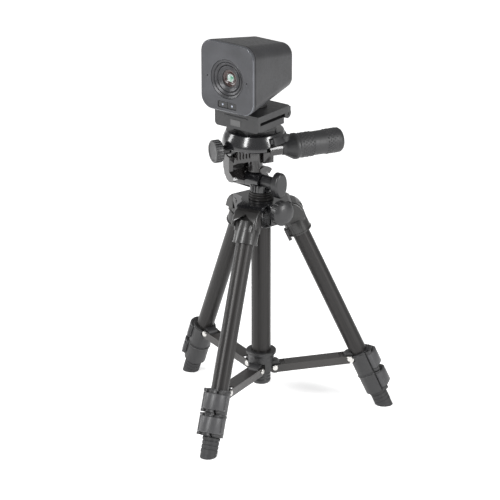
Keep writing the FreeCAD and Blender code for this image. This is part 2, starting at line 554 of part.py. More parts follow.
def handle_grip():
    """Grip turned on the rod's end: cone, collar, then a slightly waisted barrel with a rounded end."""
    outline = [(5.05, 25.9), (6.4, 25.9), (7.0, 29.0), (11.4, 36.8), (12.1, 38.0), (12.1, 41.0), (11.5, 41.7),
               (11.2, 42.1), (11.4, 47), (11.1, 58), (11.2, 70), (11.6, 80), (11.4, 83.6), (9.9, 85.8),
               (6.2, 86.8), (0, 87.0), (0, 62), (4.0, 62), (4.0, 30.6), (5.05, 30.6)]
    shape = lathe(outline)
    shape.rotate(V(0, 0, 0), AHEAD, -90)
    shape.translate(V(0, 0, HANDLE_Z))
    return on_head(shape)


# ---------------------------------------------------------------- quick plate and clip

def quick_plate():
    foot, top = PLATE_HALF - GAP, PLATE_HALF + 2
    foot = block(-foot, foot, -foot, foot, PLATE_SEAT, DISC_TOP + 0.4)
    top = block(-top, top, -top, top, DISC_TOP + 0.05, CLIP_LOW - 0.05)
    top = top.makeFillet(3.0, [e for e in top.Edges if e.BoundBox.ZLength > 4])
    body = foot.fuse(top)
    body = body.cut(rod(8.3, 274, 279.5)).cut(rod(CAMERA_SCREW_R + 0.1, 270, 290))
    return on_head(body.removeSplitter())


def quick_plate_screw():
    head = rod(8.0, 276.6, 279.2).cut(block(-9, 9, -0.7, 0.7, 276, 277.6))
    return on_head(head.fuse(rod(CAMERA_SCREW_R, 279, 288.6)))


def in_clip_place(shape):
    shape = shape.copy()
    shape.translate(V(CAM_X, 0, 0))
    return shape


def clip_hinge_place():
    return CLIP_BACK_Y, CLIP_LOW + 7.6


def side_rod(radius, half_width, y, z):
    """A rod along X, centred on it."""
    return Part.makeCylinder(radius, 2 * half_width, V(-half_width, y, z), AHEAD)


def clip_arm():
    """Lower jaw, with the hinge's middle knuckle and the hole for the threaded insert."""
    y, z = clip_hinge_place()
    w = CLIP_HALF_W - 1.2
    body = block(-w, w, CLIP_FRONT_Y + CLIP_LIP_T + 0.6, y - 5.4, CLIP_LOW, CLIP_LOW + CLIP_ARM_T)
    body = body.makeFillet(2.4, [e for e in body.Edges if e.BoundBox.ZLength > 4])
    body = body.fuse(block(-9.5, 9.5, y - 8, y, CLIP_LOW, CLIP_LOW + CLIP_ARM_T))
    body = body.fuse(side_rod(CLIP_KNUCKLE_R, 9.5, y, z))
    body = body.cut(side_rod(1.5, 30, y, z)).cut(rod(5.0, CLIP_LOW - 1, CLIP_LOW + 5.5, 0, HEAD_Y))
    pocket = block(-18, 18, -27.0, -13.0, CLIP_LOW + CLIP_ARM_T - 1.0, CLIP_LOW + 9)
    return in_clip_place(body.cut(pocket).removeSplitter())


def clip_bracket():
    """Upper jaw: plate with the front lip, and the hinge's two outer knuckles."""
    y, z = clip_hinge_place()
    w = CLIP_HALF_W
    plate = block(-w, w, CLIP_FRONT_Y, y + 1.0, CLIP_TOP - CLIP_PLATE_T + 0.4, CLIP_TOP)
    plate = plate.makeFillet(3.0, [e for e in plate.Edges if e.BoundBox.ZLength > 4 and e.BoundBox.YMin > 0])
    lip = block(-w, w, CLIP_FRONT_Y, CLIP_FRONT_Y + CLIP_LIP_T, CLIP_LOW, CLIP_TOP)
    lip = lip.makeFillet(3.5, [e for e in lip.Edges if e.BoundBox.YLength > 2 and e.BoundBox.ZMax < 290])
    body = plate.fuse(lip)
    for x0, x1 in ((-w + 2, -9.8), (9.8, w - 2)):
        knuckle = Part.makeCylinder(CLIP_KNUCKLE_R, x1 - x0, V(x0, y, z), AHEAD)
        body = body.fuse(knuckle).fuse(block(x0, x1, y - 4.0, y + 4.0, z, CLIP_TOP - 2))
    body = body.removeSplitter()
    body = body.cut(block(-9.8, 9.8, y - 5.4, y + 8, z - 6, z + CLIP_KNUCKLE_R + GAP))
    body = body.cut(side_rod(1.55, 30, y, z))
    body = body.cut(rod(4.05, 285, 310, 0, HEAD_Y)).cut(rod(7.0, 290, CLIP_TOP - 4.4, 0, HEAD_Y))
    pocket = block(-18.2, 18.2, -27.0, -13.0, CLIP_TOP - CLIP_PLATE_T, CLIP_TOP - CLIP_PLATE_T + 1.2)
    return in_clip_place(body.cut(pocket).removeSplitter())


def clip_hinge_pin():
    y, z = clip_hinge_place()
    return in_clip_place(side_rod(1.5, CLIP_HALF_W - 2.4, y, z))


def clip_pads():
    """Rubber pads in the two jaws' pockets."""
    low = block(-17.8, 17.8, -26.8, -13.2, CLIP_LOW + CLIP_ARM_T - 1.0, CLIP_LOW + CLIP_ARM_T + 0.4)
    return in_clip_place(low)


def thread_insert():
    body = rod(5.0, CLIP_LOW, CLIP_LOW + 5.5, 0, HEAD_Y)
    return in_clip_place(body.cut(rod(CAMERA_SCREW_R, CLIP_LOW - 1, CLIP_LOW + 5.1, 0, HEAD_Y)))


# ---------------------------------------------------------------- webcam

def at_camera(shape):
    shape = shape.copy()
    shape.translate(V(CAM_X, 0, CAM_Z))
    return shape


def lens_rod(radius, y0, y1):
    return Part.makeCylinder(radius, y1 - y0, V(0, y0, LENS_Z - CAM_Z), SIDE)


def webcam_shell():
    """Housing behind the front plate: a groove, a step, then walls that taper to the rounded back."""
    front = CAM_FRONT_Y + FRONT_PLATE_T
    neck = rounded_block(CAM_W - 1.8, CAM_H - 1.8, CAM_CORNER - 0.9, front, front + 0.9)
    outer = Part.makeLoft([rounded_outline(CAM_W - 0.2, CAM_H - 0.2, CAM_CORNER, front + 0.9),
                           rounded_outline(BACK_W, BACK_H, BACK_CORNER, CAM_BACK_Y)], True, True)
    outer = outer.makeFillet(4.0, edges_at(outer, "y", CAM_BACK_Y))
    inside = Part.makeLoft([rounded_outline(CAM_W - 6, CAM_H - 6, CAM_CORNER - 2.5, front - 1),
                            rounded_outline(BACK_W - 5, BACK_H - 5, BACK_CORNER - 3, CAM_BACK_Y - SHELL_WALL - 0.6)],
                           True, True)
    body = neck.fuse(outer).cut(inside)
    body = body.cut(block(-5.2, 5.2, CAM_BACK_Y - 12, CAM_BACK_Y + 1, -15.6, -11.2))
    body = body.cut(rod(8.0, -40, -20, 0, HEAD_Y))
    return at_camera(body.removeSplitter())


def webcam_front_plate():
    y0, y1 = CAM_FRONT_Y, CAM_FRONT_Y + FRONT_PLATE_T
    body = rounded_block(CAM_W, CAM_H, CAM_CORNER, y0, y1)
    body = body.makeChamfer(0.7, edges_at(body, "y", y0))
    body = body.cut(lens_rod(FUNNEL_R, y0 - 1, y1 + 1))
    z = KEY_Z - CAM_Z
    w, h = KEY_STRIP_W / 2, KEY_STRIP_H / 2
    slot = block(-w, w, y0 - 1, y1 + 1, z - h, z + h)
    slot = slot.makeFillet(1.5, [e for e in slot.Edges if e.BoundBox.YLength > 3])
    body = body.cut(slot)
    for x in (-22.0, 22.0):
        body = body.cut(Part.makeCylinder(0.6, 2, V(x, y0 - 1, LENS_Z - CAM_Z), SIDE))
    return at_camera(body)


def key(way):
    """One of the two keys under the lens: way is -1 for the left one."""
    y0 = CAM_FRONT_Y + 0.5
    z, h = KEY_Z - CAM_Z, KEY_STRIP_H / 2 - GAP
    x0, x1 = (0.15, KEY_STRIP_W / 2 - GAP)
    body = block(x0, x1, y0, y0 + 4.5, z - h, z + h)
    body = body.makeFillet(1.2, [e for e in body.Edges if e.BoundBox.YLength > 3 and e.BoundBox.XMin > 5])
    if way < 0:
        body = body.mirror(V(0, 0, 0), AHEAD)
    return at_camera(body)


def lens_barrel():
    """Stepped funnel behind the front plate's round opening, and the tube that holds the lens."""
    y, r = CAM_FRONT_Y, FUNNEL_R
    steps = [(r, 0.5), (r - 1.4, 0.5), (r - 2.6, 2.2), (r - 4.6, 2.2), (r - 5.6, 3.9), (r - 7.6, 3.9),
             (r - 8.6, 5.4), (LENS_WELL_R, 5.4), (LENS_WELL_R, 8.6), (4.6, 8.6), (3.8, 9.4), (3.8, 26.0),
             (9.0, 26.0), (9.0, 12.0), (r - 0.02, 9.0)]
    corners = [V(radius, y + depth, 0) for radius, depth in steps]
    body = Part.Face(Part.makePolygon(corners + corners[:1])).revolve(V(0, 0, 0), SIDE, 360)
    body.translate(V(0, 0, LENS_Z - CAM_Z))
    return at_camera(body)


def lens_glass():
    dome_r = 7.0
    y = CAM_FRONT_Y + 7.6
    body = lens_rod(3.8, y, y + 18)
    ball = Part.makeSphere(dome_r, V(0, y + dome_r, LENS_Z - CAM_Z))
    return at_camera(body.common(ball.fuse(lens_rod(5, y + 4, y + 20))))


def circuit_boards():
    """Main board across the housing, the image sensor on it, and the small inlet board at the back."""
    main = rounded_block(40, 36, 2, -14.0, -12.4)
    main.translate(V(0, 0, 1))
    sensor = block(-5, 5, -15.6, -14.0, LENS_Z - CAM_Z - 4, LENS_Z - CAM_Z + 4)
    inlet = block(-11, 11, -4, 12, -17.0, -15.7)
    return at_camera(Part.makeCompound([main.fuse(sensor), inlet]))


def usb_socket():
    """Metal shell of the inlet, open to the rear."""
    body = rounded_block(9.4, 3.6, 1.6, 5.0, CAM_BACK_Y - 0.1)
    body = body.cut(rounded_block(8.6, 2.8, 1.3, 6.0, CAM_BACK_Y + 1))
    body = body.fuse(block(-3.3, 3.3, 5.5, 13.5, -0.35, 0.35))
    body.translate(V(0, 0, -13.6))
    return at_camera(body)


def swivel_neck():
    """Round foot of the webcam: its pin turns in the clip's plate."""
    body = rod(11.0, CLIP_TOP + GAP, CLIP_TOP + 2.3).fuse(rod(8.0, CLIP_TOP + 2, CAM_Z - 21.5))
    body = body.fuse(rod(4.0, CLIP_TOP - 5.2, CLIP_TOP + 1)).fuse(rod(6.4, CLIP_TOP - 6.2, CLIP_TOP - 4.7))
    body.translate(V(CAM_X, HEAD_Y, 0))
    return body


os.makedirs("parts", exist_ok=True)
for leg_name, leg_azimuth in LEG_AZIMUTHS.items():
    make_leg(leg_name, leg_azimuth)
save("brace_hub", brace_hub())
save("hub_rivets", hub_rivets())
save("centre_column", centre_column())
save("column_end_plug", column_end_plug())
save("shoulder", shoulder())
save("column_knob", column_knob())
save("pan_neck", pan_neck())
save("tilt_knob", tilt_knob())
save("tilt_arm", tilt_arm())
save("head_platform", on_head(head_platform()))
save("release_lever", on_head(release_lever()))
save("flip_knob", flip_knob())
save("handle_rod", handle_rod())
save("handle_grip", handle_grip())
save("quick_plate", quick_plate())
save("quick_plate_screw", quick_plate_screw())
save("clip_arm", clip_arm())
save("clip_bracket", clip_bracket())
save("clip_hinge_pin", clip_hinge_pin())
save("clip_pads", clip_pads())
save("thread_insert", thread_insert())
save("webcam_shell", webcam_shell())
save("webcam_front_plate", webcam_front_plate())
save("key_left", key(-1))
save("key_right", key(1))
save("lens_barrel", lens_barrel())
save("lens_glass", lens_glass())
save("circuit_boards", circuit_boards())
save("usb_socket", usb_socket())
save("swivel_neck", swivel_neck())
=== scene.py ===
import bpy
import bmesh
import json
import math
from mathutils import Matrix, Vector


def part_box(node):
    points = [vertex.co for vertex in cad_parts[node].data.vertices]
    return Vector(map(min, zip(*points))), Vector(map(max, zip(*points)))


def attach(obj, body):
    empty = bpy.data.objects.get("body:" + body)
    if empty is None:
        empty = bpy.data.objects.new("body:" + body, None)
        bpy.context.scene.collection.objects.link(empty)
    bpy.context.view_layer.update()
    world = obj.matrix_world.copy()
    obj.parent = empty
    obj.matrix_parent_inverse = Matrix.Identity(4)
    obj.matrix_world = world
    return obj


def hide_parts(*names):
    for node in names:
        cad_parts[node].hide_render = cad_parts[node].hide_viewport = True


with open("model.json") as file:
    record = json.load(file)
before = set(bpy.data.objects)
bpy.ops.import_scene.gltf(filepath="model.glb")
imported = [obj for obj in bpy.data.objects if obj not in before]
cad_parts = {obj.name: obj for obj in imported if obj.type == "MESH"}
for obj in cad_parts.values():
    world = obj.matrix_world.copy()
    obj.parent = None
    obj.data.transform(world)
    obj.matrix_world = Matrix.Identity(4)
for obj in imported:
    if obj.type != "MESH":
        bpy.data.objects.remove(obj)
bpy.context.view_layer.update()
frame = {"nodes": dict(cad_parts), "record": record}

# ---------------------------------------------------------------- the place it stands, the lights and the camera
# The object stands on a plain pale table under soft studio light, seen from the front and its right.

column_low, column_high = (Vector(corner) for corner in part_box("centre_column"))
column_axis = (column_low + column_high) / 2
scene = bpy.context.scene
scene.view_settings.view_transform = "Standard"

table_half = 4.0
table_mesh = bpy.data.meshes.new("table_top")
table_mesh.from_pydata([(-table_half, -table_half, 0), (table_half, -table_half, 0), (table_half, table_half, 0),
                        (-table_half, table_half, 0)], [], [(0, 1, 2, 3)])
table_top = bpy.data.objects.new("table_top", table_mesh)
scene.collection.objects.link(table_top)
table_paint = bpy.data.materials.new("table_paint")
table_paint.use_nodes = True
table_shader = table_paint.node_tree.nodes["Principled BSDF"]
table_shader.inputs["Base Color"].default_value = (0.93, 0.93, 0.93, 1)
table_shader.inputs["Roughness"].default_value = 0.8
table_shader.inputs["Specular IOR Level"].default_value = 0.1
table_shader.inputs["Emission Color"].default_value = (1.0, 1.0, 1.0, 1)
table_shader.inputs["Emission Strength"].default_value = 0.45
table_mesh.materials.append(table_paint)

studio = bpy.data.worlds.new("studio")
studio.use_nodes = True
studio.node_tree.nodes["Background"].inputs["Color"].default_value = (1.0, 1.0, 1.0, 1)
studio.node_tree.nodes["Background"].inputs["Strength"].default_value = 0.42
scene.world = studio


def soft_box(name, place, aim, width, height, watts):
    """A rectangular lamp that faces a point."""
    lamp = bpy.data.lights.new(name, "AREA")
    lamp.shape = "RECTANGLE"
    lamp.size, lamp.size_y = width, height
    lamp.energy = watts
    holder = bpy.data.objects.new(name, lamp)
    facing = (Vector(aim) - Vector(place)).to_track_quat("-Z", "Y").to_matrix().to_4x4()
    holder.matrix_world = Matrix.Translation(place) @ facing
    scene.collection.objects.link(holder)


middle = Vector((column_axis.x, column_axis.y, 0.20))
soft_box("key_light", (0.1, -1.7, 1.1), middle, 0.35, 1.2, 27)
soft_box("side_light", (1.6, 0.1, 0.9), middle, 0.35, 1.2, 25)
soft_box("left_light", (-1.5, -0.7, 0.8), middle, 0.4, 1.2, 14)

view_azimuth, view_elevation = math.radians(37.5), math.radians(20.7)
view_distance, aim_height = 2.677, 0.159
frame_lens, frame_shift = 209.95, -0.0222
back = Vector((math.sin(view_azimuth) * math.cos(view_elevation),
               -math.cos(view_azimuth) * math.cos(view_elevation), math.sin(view_elevation)))
camera_data = bpy.data.cameras.new("camera")
camera_data.lens, camera_data.sensor_width, camera_data.shift_x = frame_lens, 36.0, frame_shift
camera = bpy.data.objects.new("camera", camera_data)
camera.matrix_world = (Matrix.Translation(Vector((column_axis.x, column_axis.y, aim_height)) + back * view_distance)
                       @ back.to_track_quat("Z", "Y").to_matrix().to_4x4())
scene.collection.objects.link(camera)
scene.camera = camera


# ---------------------------------------------------------------- moulded black plastic of the shoulder and head
# The shoulder, the leg tops, the pan neck and the platform are glossy black injection mouldings. Their corners are
# slightly round, and the gloss has the faint unevenness of a moulded skin.

def new_material(name):
    """A node material with its shader, its tree and Object coordinates in metres."""
    material = bpy.data.materials.new(name)
    material.use_nodes = True
    nodes, links = material.node_tree.nodes, material.node_tree.links
    shader = nodes["Principled BSDF"]
    place = nodes.new("ShaderNodeTexCoord").outputs["Object"]
    return material, nodes, links, shader, place


def noise(nodes, links, place, scale, detail=2.0, stretch=None):
    """A noise texture on Object coordinates; stretch scales it along X, Y and Z."""
    texture = nodes.new("ShaderNodeTexNoise")
    texture.inputs["Scale"].default_value = scale
    texture.inputs["Detail"].default_value = detail
    if stretch:
        mapping = nodes.new("ShaderNodeMapping")
        mapping.inputs["Scale"].default_value = stretch
        links.new(place, mapping.inputs["Vector"])
        place = mapping.outputs["Vector"]
    links.new(place, texture.inputs["Vector"])
    return texture.outputs["Fac"]


def spread(nodes, links, value, low, high):
    """Maps 0.3 to 0.7, where most of a noise lies, to a range."""
    remap = nodes.new("ShaderNodeMapRange")
    remap.inputs["From Min"].default_value, remap.inputs["From Max"].default_value = 0.3, 0.7
    remap.inputs["To Min"].default_value, remap.inputs["To Max"].default_value = low, high
    links.new(value, remap.inputs["Value"])
    return remap.outputs["Result"]


def tint(nodes, links, value, dark, light):
    """Mixes two colours by a value."""
    mix = nodes.new("ShaderNodeMix")
    mix.data_type = "RGBA"
    mix.inputs["A"].default_value, mix.inputs["B"].default_value = (*dark, 1), (*light, 1)
    links.new(value, mix.inputs["Factor"])
    return mix.outputs["Result"]


def bump(nodes, links, shader, height, depth, strength=1.0):
    """Adds surface relief, depth in metres, on top of any relief the shader already has."""
    relief = nodes.new("ShaderNodeBump")
    relief.inputs["Strength"].default_value = strength
    relief.inputs["Distance"].default_value = depth
    links.new(height, relief.inputs["Height"])
    if shader.inputs["Normal"].is_linked:
        links.new(shader.inputs["Normal"].links[0].from_socket, relief.inputs["Normal"])
    links.new(relief.outputs["Normal"], shader.inputs["Normal"])


def plastic(name, colour, roughness, grain=0.0, grain_size=3000.0, coat=0.0, metallic=0.0, uneven=0.15):
    """Moulded or painted skin: cloudy tone and gloss, with fine grain when it is textured."""
    material, nodes, links, shader, place = new_material(name)
    clouds = noise(nodes, links, place, 55.0, 3.0)
    dark, light = (tuple(c * k for c in colour) for k in (1 - uneven, 1 + uneven))
    links.new(tint(nodes, links, spread(nodes, links, clouds, 0, 1), dark, light), shader.inputs["Base Color"])
    fine = noise(nodes, links, place, 420.0, 2.0)
    links.new(spread(nodes, links, fine, roughness * 0.88, roughness * 1.12), shader.inputs["Roughness"])
    shader.inputs["Metallic"].default_value = metallic
    shader.inputs["Coat Weight"].default_value = coat
    shader.inputs["Coat Roughness"].default_value = 0.12
    if grain:
        bump(nodes, links, shader, noise(nodes, links, place, grain_size, 1.0), grain)
    return material


gloss_black = plastic("gloss_black", (0.007, 0.007, 0.008), 0.20, 0.00002, 260.0, 0.5)


def merged_copy(node, name):
    """A copy of a CAD node as a clean mesh: merged points, and flat faces made whole."""
    copy = bmesh.new()
    copy.from_mesh(frame["nodes"][node].data)
    bmesh.ops.remove_doubles(copy, verts=copy.verts, dist=0.00001)
    bmesh.ops.dissolve_limit(copy, angle_limit=math.radians(1.0), verts=copy.verts, edges=copy.edges)
    mesh = bpy.data.meshes.new(name)
    copy.to_mesh(mesh)
    copy.free()
    return mesh


def body_of(node):
    """The body that a CAD node belongs to."""
    return next(body for body, nodes in frame["record"]["behaviour"]["bodies"].items() if node in nodes)


def slot_of(node):
    return next(part["material_slot"] for part in frame["record"]["subparts"] if part["node"] == node)


def softened(node, material, radius, segments=2, corner=32.0):
    """Replaces a CAD node by the same shape with rounded edges, as a mould or a tool leaves them."""
    piece = bpy.data.objects.new("fine_" + node, merged_copy(node, "fine_" + node))
    scene.collection.objects.link(piece)
    piece.data.materials.append(material)
    bevel = piece.modifiers.new("edges", "BEVEL")
    bevel.width, bevel.segments = radius, segments
    bevel.limit_method, bevel.angle_limit = "ANGLE", math.radians(corner)
    bevel.use_clamp_overlap = True
    bevel.harden_normals = True
    for polygon in piece.data.polygons:
        polygon.use_smooth = True
    piece.data.set_sharp_from_angle(angle=math.radians(corner))
    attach(piece, body_of(node))
    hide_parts(node)
    return piece


def repeating_group(name, unit_type):
    """A node group that repeats a unit in rings about Z, with rows along Z, and paints it."""
    group = bpy.data.node_groups.new(name, "GeometryNodeTree")
    face = group.interface
    for label, kind in (("Count", "Int"), ("Rows", "Int"), ("Radius", "Float"), ("Pitch", "Float"),
                        ("Stagger", "Float"), ("Twist", "Float"), ("Size", "Vector"), ("Material", "Material")):
        face.new_socket(label, in_out="INPUT", socket_type="NodeSocket" + kind)
    face.new_socket("Geometry", in_out="OUTPUT", socket_type="NodeSocketGeometry")
    nodes, links = group.nodes, group.links
    given, result = nodes.new("NodeGroupInput"), nodes.new("NodeGroupOutput")

    def maths(operation, *values):
        node = nodes.new("ShaderNodeMath")
        node.operation = operation
        for number, value in enumerate(values):
            if isinstance(value, (int, float)):
                node.inputs[number].default_value = value
            else:
                links.new(value, node.inputs[number])
        return node.outputs[0]

    def vector(x=0.0, y=0.0, z=0.0):
        node = nodes.new("ShaderNodeCombineXYZ")
        for number, value in enumerate((x, y, z)):
            if not isinstance(value, float):
                links.new(value, node.inputs[number])
        return node.outputs[0]

    line = nodes.new("GeometryNodeMeshLine")
    links.new(maths("MULTIPLY", given.outputs["Count"], given.outputs["Rows"]), line.inputs["Count"])
    index = nodes.new("GeometryNodeInputIndex").outputs[0]
    row = maths("FLOOR", maths("DIVIDE", index, given.outputs["Count"]))
    step = maths("DIVIDE", 2 * math.pi, given.outputs["Count"])
    angle = maths("ADD", maths("MULTIPLY", index, step), maths("MULTIPLY", row, given.outputs["Stagger"]))
    spot = vector(maths("MULTIPLY", given.outputs["Radius"], maths("COSINE", angle)),
                  maths("MULTIPLY", given.outputs["Radius"], maths("SINE", angle)),
                  maths("MULTIPLY", row, given.outputs["Pitch"]))
    placed = nodes.new("GeometryNodeSetPosition")
    links.new(line.outputs["Mesh"], placed.inputs["Geometry"])
    links.new(spot, placed.inputs["Position"])
    unit = nodes.new(unit_type)
    copies = nodes.new("GeometryNodeInstanceOnPoints")
    links.new(placed.outputs["Geometry"], copies.inputs["Points"])
    links.new(unit.outputs["Mesh"], copies.inputs["Instance"])
    links.new(vector(z=maths("ADD", angle, given.outputs["Twist"])), copies.inputs["Rotation"])
    links.new(given.outputs["Size"], copies.inputs["Scale"])
    whole, paint = nodes.new("GeometryNodeRealizeInstances"), nodes.new("GeometryNodeSetMaterial")
    links.new(copies.outputs["Instances"], whole.inputs["Geometry"])
    links.new(whole.outputs["Geometry"], paint.inputs["Geometry"])
    links.new(given.outputs["Material"], paint.inputs["Material"])
    links.new(paint.outputs["Geometry"], result.inputs["Geometry"])
    return group


round_units = repeating_group("round_units", "GeometryNodeMeshUVSphere")
round_ball = next(node for node in round_units.nodes if node.bl_idname == "GeometryNodeMeshUVSphere")
round_ball.inputs["Segments"].default_value, round_ball.inputs["Rings"].default_value = 14, 8
block_units = repeating_group("block_units", "GeometryNodeMeshCube")


def owned(piece, body):
    """Declares which body a new piece rides on."""
    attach(piece, body)
    return piece


def repeated(name, group, material, body, slot, frame_of, **values):
    """Makes one plain mesh of a node group's rings, in the place that frame_of gives."""
    maker = bpy.data.objects.new(name + "_maker", bpy.data.meshes.new(name + "_maker"))
    scene.collection.objects.link(maker)
    modifier = maker.modifiers.new("rings", "NODES")
    modifier.node_group = group
    defaults = {"Rows": 1, "Pitch": 0.0, "Stagger": 0.0, "Twist": 0.0, "Material": material}
    sockets = {item.name: item.identifier for item in group.interface.items_tree if item.in_out == "INPUT"}
    for label, value in {**defaults, **values}.items():
        modifier[sockets[label]] = value
    bpy.context.view_layer.update()
    mesh = bpy.data.meshes.new_from_object(maker.evaluated_get(bpy.context.evaluated_depsgraph_get()))
    bpy.data.objects.remove(maker)
    mesh.transform(frame_of)
    for polygon in mesh.polygons:
        polygon.use_smooth = group == round_units
    piece = bpy.data.objects.new(name, mesh)
    scene.collection.objects.link(piece)
    return owned(piece, body)


def turned_piece(name, outline, material, body, frame_of, segments=72):
    """A closed (radius, height) outline turned about Z, as on a lathe."""
    turned = bmesh.new()
    loops = [[turned.verts.new((radius * math.cos(a), radius * math.sin(a), height)) for radius, height in outline]
             for a in (2 * math.pi * number / segments for number in range(segments))]
    for number, loop in enumerate(loops):
        following = loops[(number + 1) % segments]
        for k in range(len(outline)):
            m = (k + 1) % len(outline)
            turned.faces.new((loop[k], following[k], following[m], loop[m]))
    bmesh.ops.recalc_face_normals(turned, faces=turned.faces)
    mesh = bpy.data.meshes.new(name)
    turned.to_mesh(mesh)
    turned.free()
    mesh.transform(frame_of)
    for polygon in mesh.polygons:
        polygon.use_smooth = True
    mesh.set_sharp_from_angle(angle=math.radians(40))
    mesh.materials.append(material)
    piece = bpy.data.objects.new(name, mesh)
    scene.collection.objects.link(piece)
    return owned(piece, body)


leg_names = ("front", "right", "left")
softened("shoulder", gloss_black, 0.0007)
satin_black = plastic("satin_black", (0.012, 0.0115, 0.0112), 0.33, 0.00003, 700.0, 0.15)
for leg in leg_names:
    softened("leg_top_bracket_" + leg, satin_black, 0.0006)
softened("pan_neck", gloss_black, 0.0003)
softened("head_platform", gloss_black, 0.0004)

leg_azimuths = {"front": -76.7, "right": 43.3, "left": 163.3}
column_frame = Matrix.Translation((column_axis.x, column_axis.y, 0))


def about_z(degrees):
    return Matrix.Rotation(math.radians(degrees), 4, "Z")


# Domed heads of the hinge pins stand on both cheeks of each leg's hood, and the neck is ribbed for the hand.
steel_dark = plastic("steel_dark", (0.11, 0.11, 0.11), 0.30, 0.0, metallic=1.0, uneven=0.1)
cheek_radius, cheek_angle, pivot_height = 0.0271, 27.3, 0.203
for side, way in (("left", 1), ("right", -1)):
    repeated("hinge_pin_heads_" + side, round_units, steel_dark, body_of("shoulder"), slot_of("shoulder"),
             column_frame @ about_z(leg_azimuths["front"] + way * cheek_angle) @ Matrix.Translation((0, 0, pivot_height)),
             Count=3, Radius=cheek_radius, Twist=way * math.radians(90 - cheek_angle), Size=(0.0009, 0.0026, 0.0026))
repeated("neck_ribs", block_units, gloss_black, body_of("pan_neck"), slot_of("pan_neck"),
         column_frame @ Matrix.Translation((0, 0, 0.2206)), Count=20, Radius=0.0093, Size=(0.0018, 0.0014, 0.0058))

# ---------------------------------------------------------------- legs' and column's tubes
# Drawn aluminium tubes, anodised black with a satin skin: fine lines of the drawing run along each tube.


def finish_node(node, material):
    """Gives a CAD node a material."""
    shown = frame["nodes"][node]
    for number in range(len(shown.material_slots)):
        shown.material_slots[number].material = material


def drawn_tube(name, along):
    """Satin black anodising with fine lines along a tube's own direction."""
    material, nodes, links, shader, place = new_material(name)
    turn = Vector((0, 0, 1)).rotation_difference(along).inverted().to_euler()
    straight = nodes.new("ShaderNodeMapping")
    straight.vector_type = "POINT"
    straight.inputs["Rotation"].default_value = turn
    links.new(place, straight.inputs["Vector"])
    lines = noise(nodes, links, straight.outputs["Vector"], 1500.0, 2.0, (1.0, 1.0, 0.006))
    tone = spread(nodes, links, lines, 0, 1)
    links.new(tint(nodes, links, tone, (0.0170, 0.0160, 0.0158), (0.0275, 0.0260, 0.0255)), shader.inputs["Base Color"])
    links.new(spread(nodes, links, lines, 0.33, 0.43), shader.inputs["Roughness"])
    shader.inputs["Metallic"].default_value = 0.55
    bump(nodes, links, shader, lines, 0.000008)
    return material


def direction(joint_name):
    joint = next(j for j in frame["record"]["behaviour"]["joints"] if j["name"] == joint_name)
    return Vector(joint["axis"])


for leg in leg_names:
    tube_skin = drawn_tube("tube_black_" + leg, -direction("middle_slide_" + leg))
    for tube in ("upper_tube_", "middle_tube_", "lower_tube_"):
        finish_node(tube + leg, tube_skin)
finish_node("centre_column", drawn_tube("column_black", Vector((0, 0, 1))))

# ---------------------------------------------------------------- collars, flip levers and feet
# Nylon collars clamp each tube; a satin grey lever closes each one. The feet are soft black rubber, dull and grippy.

collar_black = plastic("collar_black", (0.017, 0.017, 0.018), 0.42, 0.00004, 900.0)
lever_grey = plastic("lever_grey", (0.040, 0.040, 0.042), 0.40, 0.00005, 1100.0)
foot_rubber = plastic("foot_rubber", (0.014, 0.014, 0.015), 0.62, 0.00006, 1600.0)
for leg in leg_names:
    for level in ("upper", "lower"):
        softened(level + "_collar_" + leg, collar_black, 0.0004)
        softened(level + "_lever_" + leg, lever_grey, 0.0005)
    softened("rubber_foot_" + leg, foot_rubber, 0.0003)

foot_radius, leg_lean = 0.1164, 24.46


def leg_frame(leg):
    """A leg's own frame: Z along the leg from the ground, X outward."""
    return (column_frame @ about_z(leg_azimuths[leg]) @ Matrix.Translation((foot_radius, 0, 0))
            @ Matrix.Rotation(math.radians(-leg_lean), 4, "Y"))


# A moulded bead runs round each collar below its rim.
collar_radius, bead_height = 0.0104, 0.0009
for leg in leg_names:
    for level, collar_low, collar_high in (("lower", 0.018, 0.0387), ("upper", 0.039, 0.061)):
        bead = [(collar_radius - 0.0003, -bead_height), (collar_radius + 0.0003, -bead_height * 0.8),
                (collar_radius + 0.0006, 0), (collar_radius + 0.0003, bead_height * 0.8),
                (collar_radius - 0.0003, bead_height)]
        node = level + "_collar_" + leg
        turned_piece(level + "_bead_" + leg, bead, collar_black, body_of(node),
                     leg_frame(leg) @ Matrix.Translation((0, 0, collar_high - 0.0018)))

# ---------------------------------------------------------------- brace
# Pressed steel channels, painted near-black, are held by bright rivets to the nylon hub on the column.

brace_paint = plastic("brace_paint", (0.022, 0.020, 0.019), 0.38, 0.00003, 700.0, 0.1)
softened("brace_hub", collar_black, 0.0004)
softened("column_end_plug", collar_black, 0.0003)
rivet_steel = plastic("rivet_steel", (0.62, 0.61, 0.59), 0.28, 0.0, metallic=1.0, uneven=0.08)
leg_rivet_x, leg_rivet_along, rivet_reach, strut_half_width = -0.0102, 0.05957, 0.0033, 0.0066
for leg in leg_names:
    channel = softened("brace_strut_" + leg, brace_paint, 0.0003)
    channel.data.materials.append(rivet_steel)
    to_leg = leg_frame(leg).inverted()
    for polygon in channel.data.polygons:
        spot = to_leg @ polygon.center
        if (math.hypot(spot.x - leg_rivet_x, spot.z - leg_rivet_along) < rivet_reach
                and abs(spot.y) > strut_half_width):
            polygon.material_index = 1
softened("hub_rivets", rivet_steel, 0.0004)

# ---------------------------------------------------------------- knobs, tilt arm and handle
# Knobs are textured black plastic, the tilt arm is glossy nylon, and the grip is soft rubber over a steel rod.

